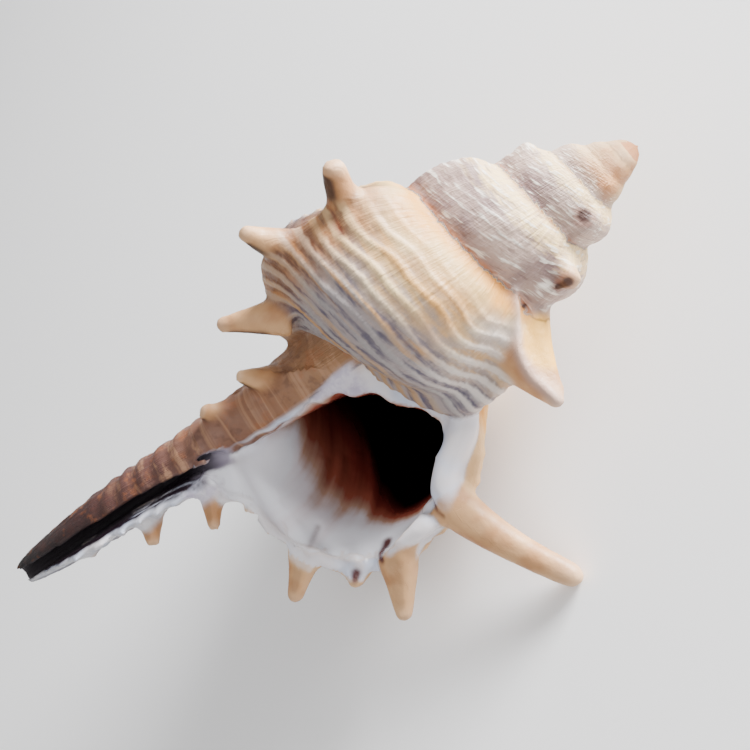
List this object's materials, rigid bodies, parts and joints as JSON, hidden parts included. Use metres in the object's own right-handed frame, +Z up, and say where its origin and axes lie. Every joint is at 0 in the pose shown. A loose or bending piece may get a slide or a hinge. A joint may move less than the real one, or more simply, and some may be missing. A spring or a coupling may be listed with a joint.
{
  "type": "murex shell",
  "caption": "Spiral sea shell with a long open canal, spiny ribs and an oval mouth, lying on its back on its longest spines.",
  "frame": {"origin": "middle of the bottom of the bounding box, on the surface the shell lies on", "axes": "+Z up, +X along the shell from the canal to the apex, mouth facing up and towards -Y"},
  "size_m": [0.0978, 0.0594, 0.0419],
  "materials": {
    "shell": "natural shell, satin outside and glossy in the mouth"
  },
  "bodies": {
    "root": {"shell": "shell"}
  },
  "joints": []
}
